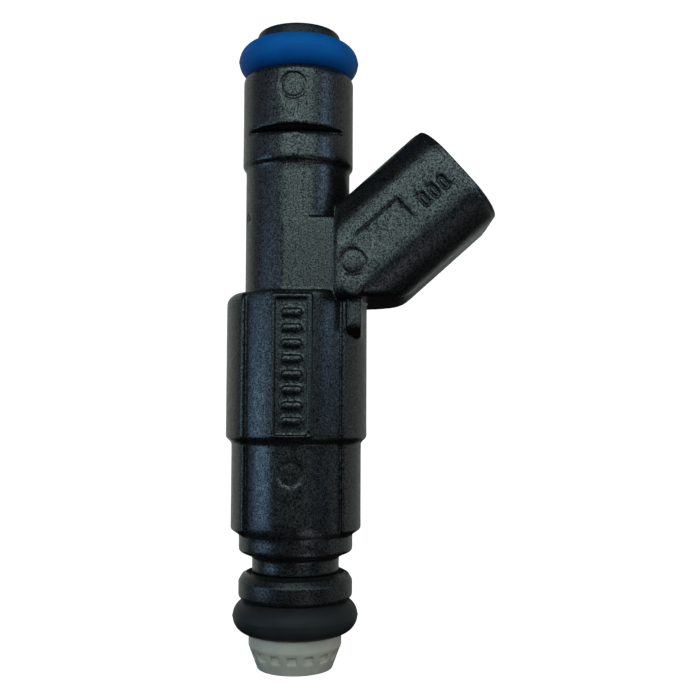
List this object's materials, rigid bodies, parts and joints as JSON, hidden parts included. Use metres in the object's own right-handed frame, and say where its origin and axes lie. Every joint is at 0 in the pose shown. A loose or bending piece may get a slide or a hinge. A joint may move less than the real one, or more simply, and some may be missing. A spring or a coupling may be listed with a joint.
{
  "type": "fuel injector",
  "caption": "Top-feed port fuel injector: moulded black sheath with slanted two-pin connector, seal rings, solenoid coil and spring-shut ball valve.",
  "frame": {"origin": "middle of the lower seal ring, on the valve axis", "axes": "+Z along the valve axis from the spray tip to the fuel inlet; +X towards the side that the slanted connector leans to; -Y towards the marking panel"},
  "size_m": [0.0319, 0.018, 0.076],
  "materials": {
    "sheath_plastic": "satin",
    "backup_plastic": "satin",
    "bobbin_plastic": "satin",
    "filter_plastic": "satin",
    "cap_plastic": "satin",
    "blue_rubber": "satin",
    "black_rubber": "satin",
    "pole_steel": "machined",
    "tube_steel": "drawn",
    "seat_steel": "ground",
    "plate_steel": "rolled",
    "ball_steel": "polished",
    "spring_steel": "drawn",
    "bracket_steel": "stamped",
    "ring_alloy": "turned",
    "winding_wire": "enamelled copper",
    "contact_metal": "tin plated",
    "brass": "drawn",
    "mesh_fabric": "woven"
  },
  "bodies": {
    "injector": {"overmold_body": "sheath_plastic", "inlet_tube": "pole_steel", "nonmagnetic_ring": "ring_alloy", "valve_body_tube": "tube_steel", "valve_seat": "seat_steel", "spray_plate": "plate_steel", "return_spring": "spring_steel", "adjusting_sleeve": "spring_steel", "coil_bobbin": "bobbin_plastic", "coil_winding": "winding_wire", "flux_bracket_left": "bracket_steel", "flux_bracket_right": "bracket_steel", "terminal_front": "contact_metal", "terminal_back": "contact_metal", "filter_frame": "filter_plastic", "filter_mesh": "mesh_fabric", "filter_ring": "brass", "upper_seal_ring": "blue_rubber", "lower_seal_ring": "black_rubber", "backup_ring": "backup_plastic", "tip_cap": "cap_plastic"},
    "needle": {"armature": "pole_steel", "needle_tube": "tube_steel", "valve_ball": "ball_steel"}
  },
  "joints": [
    {"name": "needle_lift", "type": "slide", "parent": "injector", "child": "needle", "axis": [0, 0, 1], "range_m": [0, 0.00008], "stiffness_N_per_m": 600, "springref_m": -0.004, "deforming": ["return_spring"]}
  ]
}
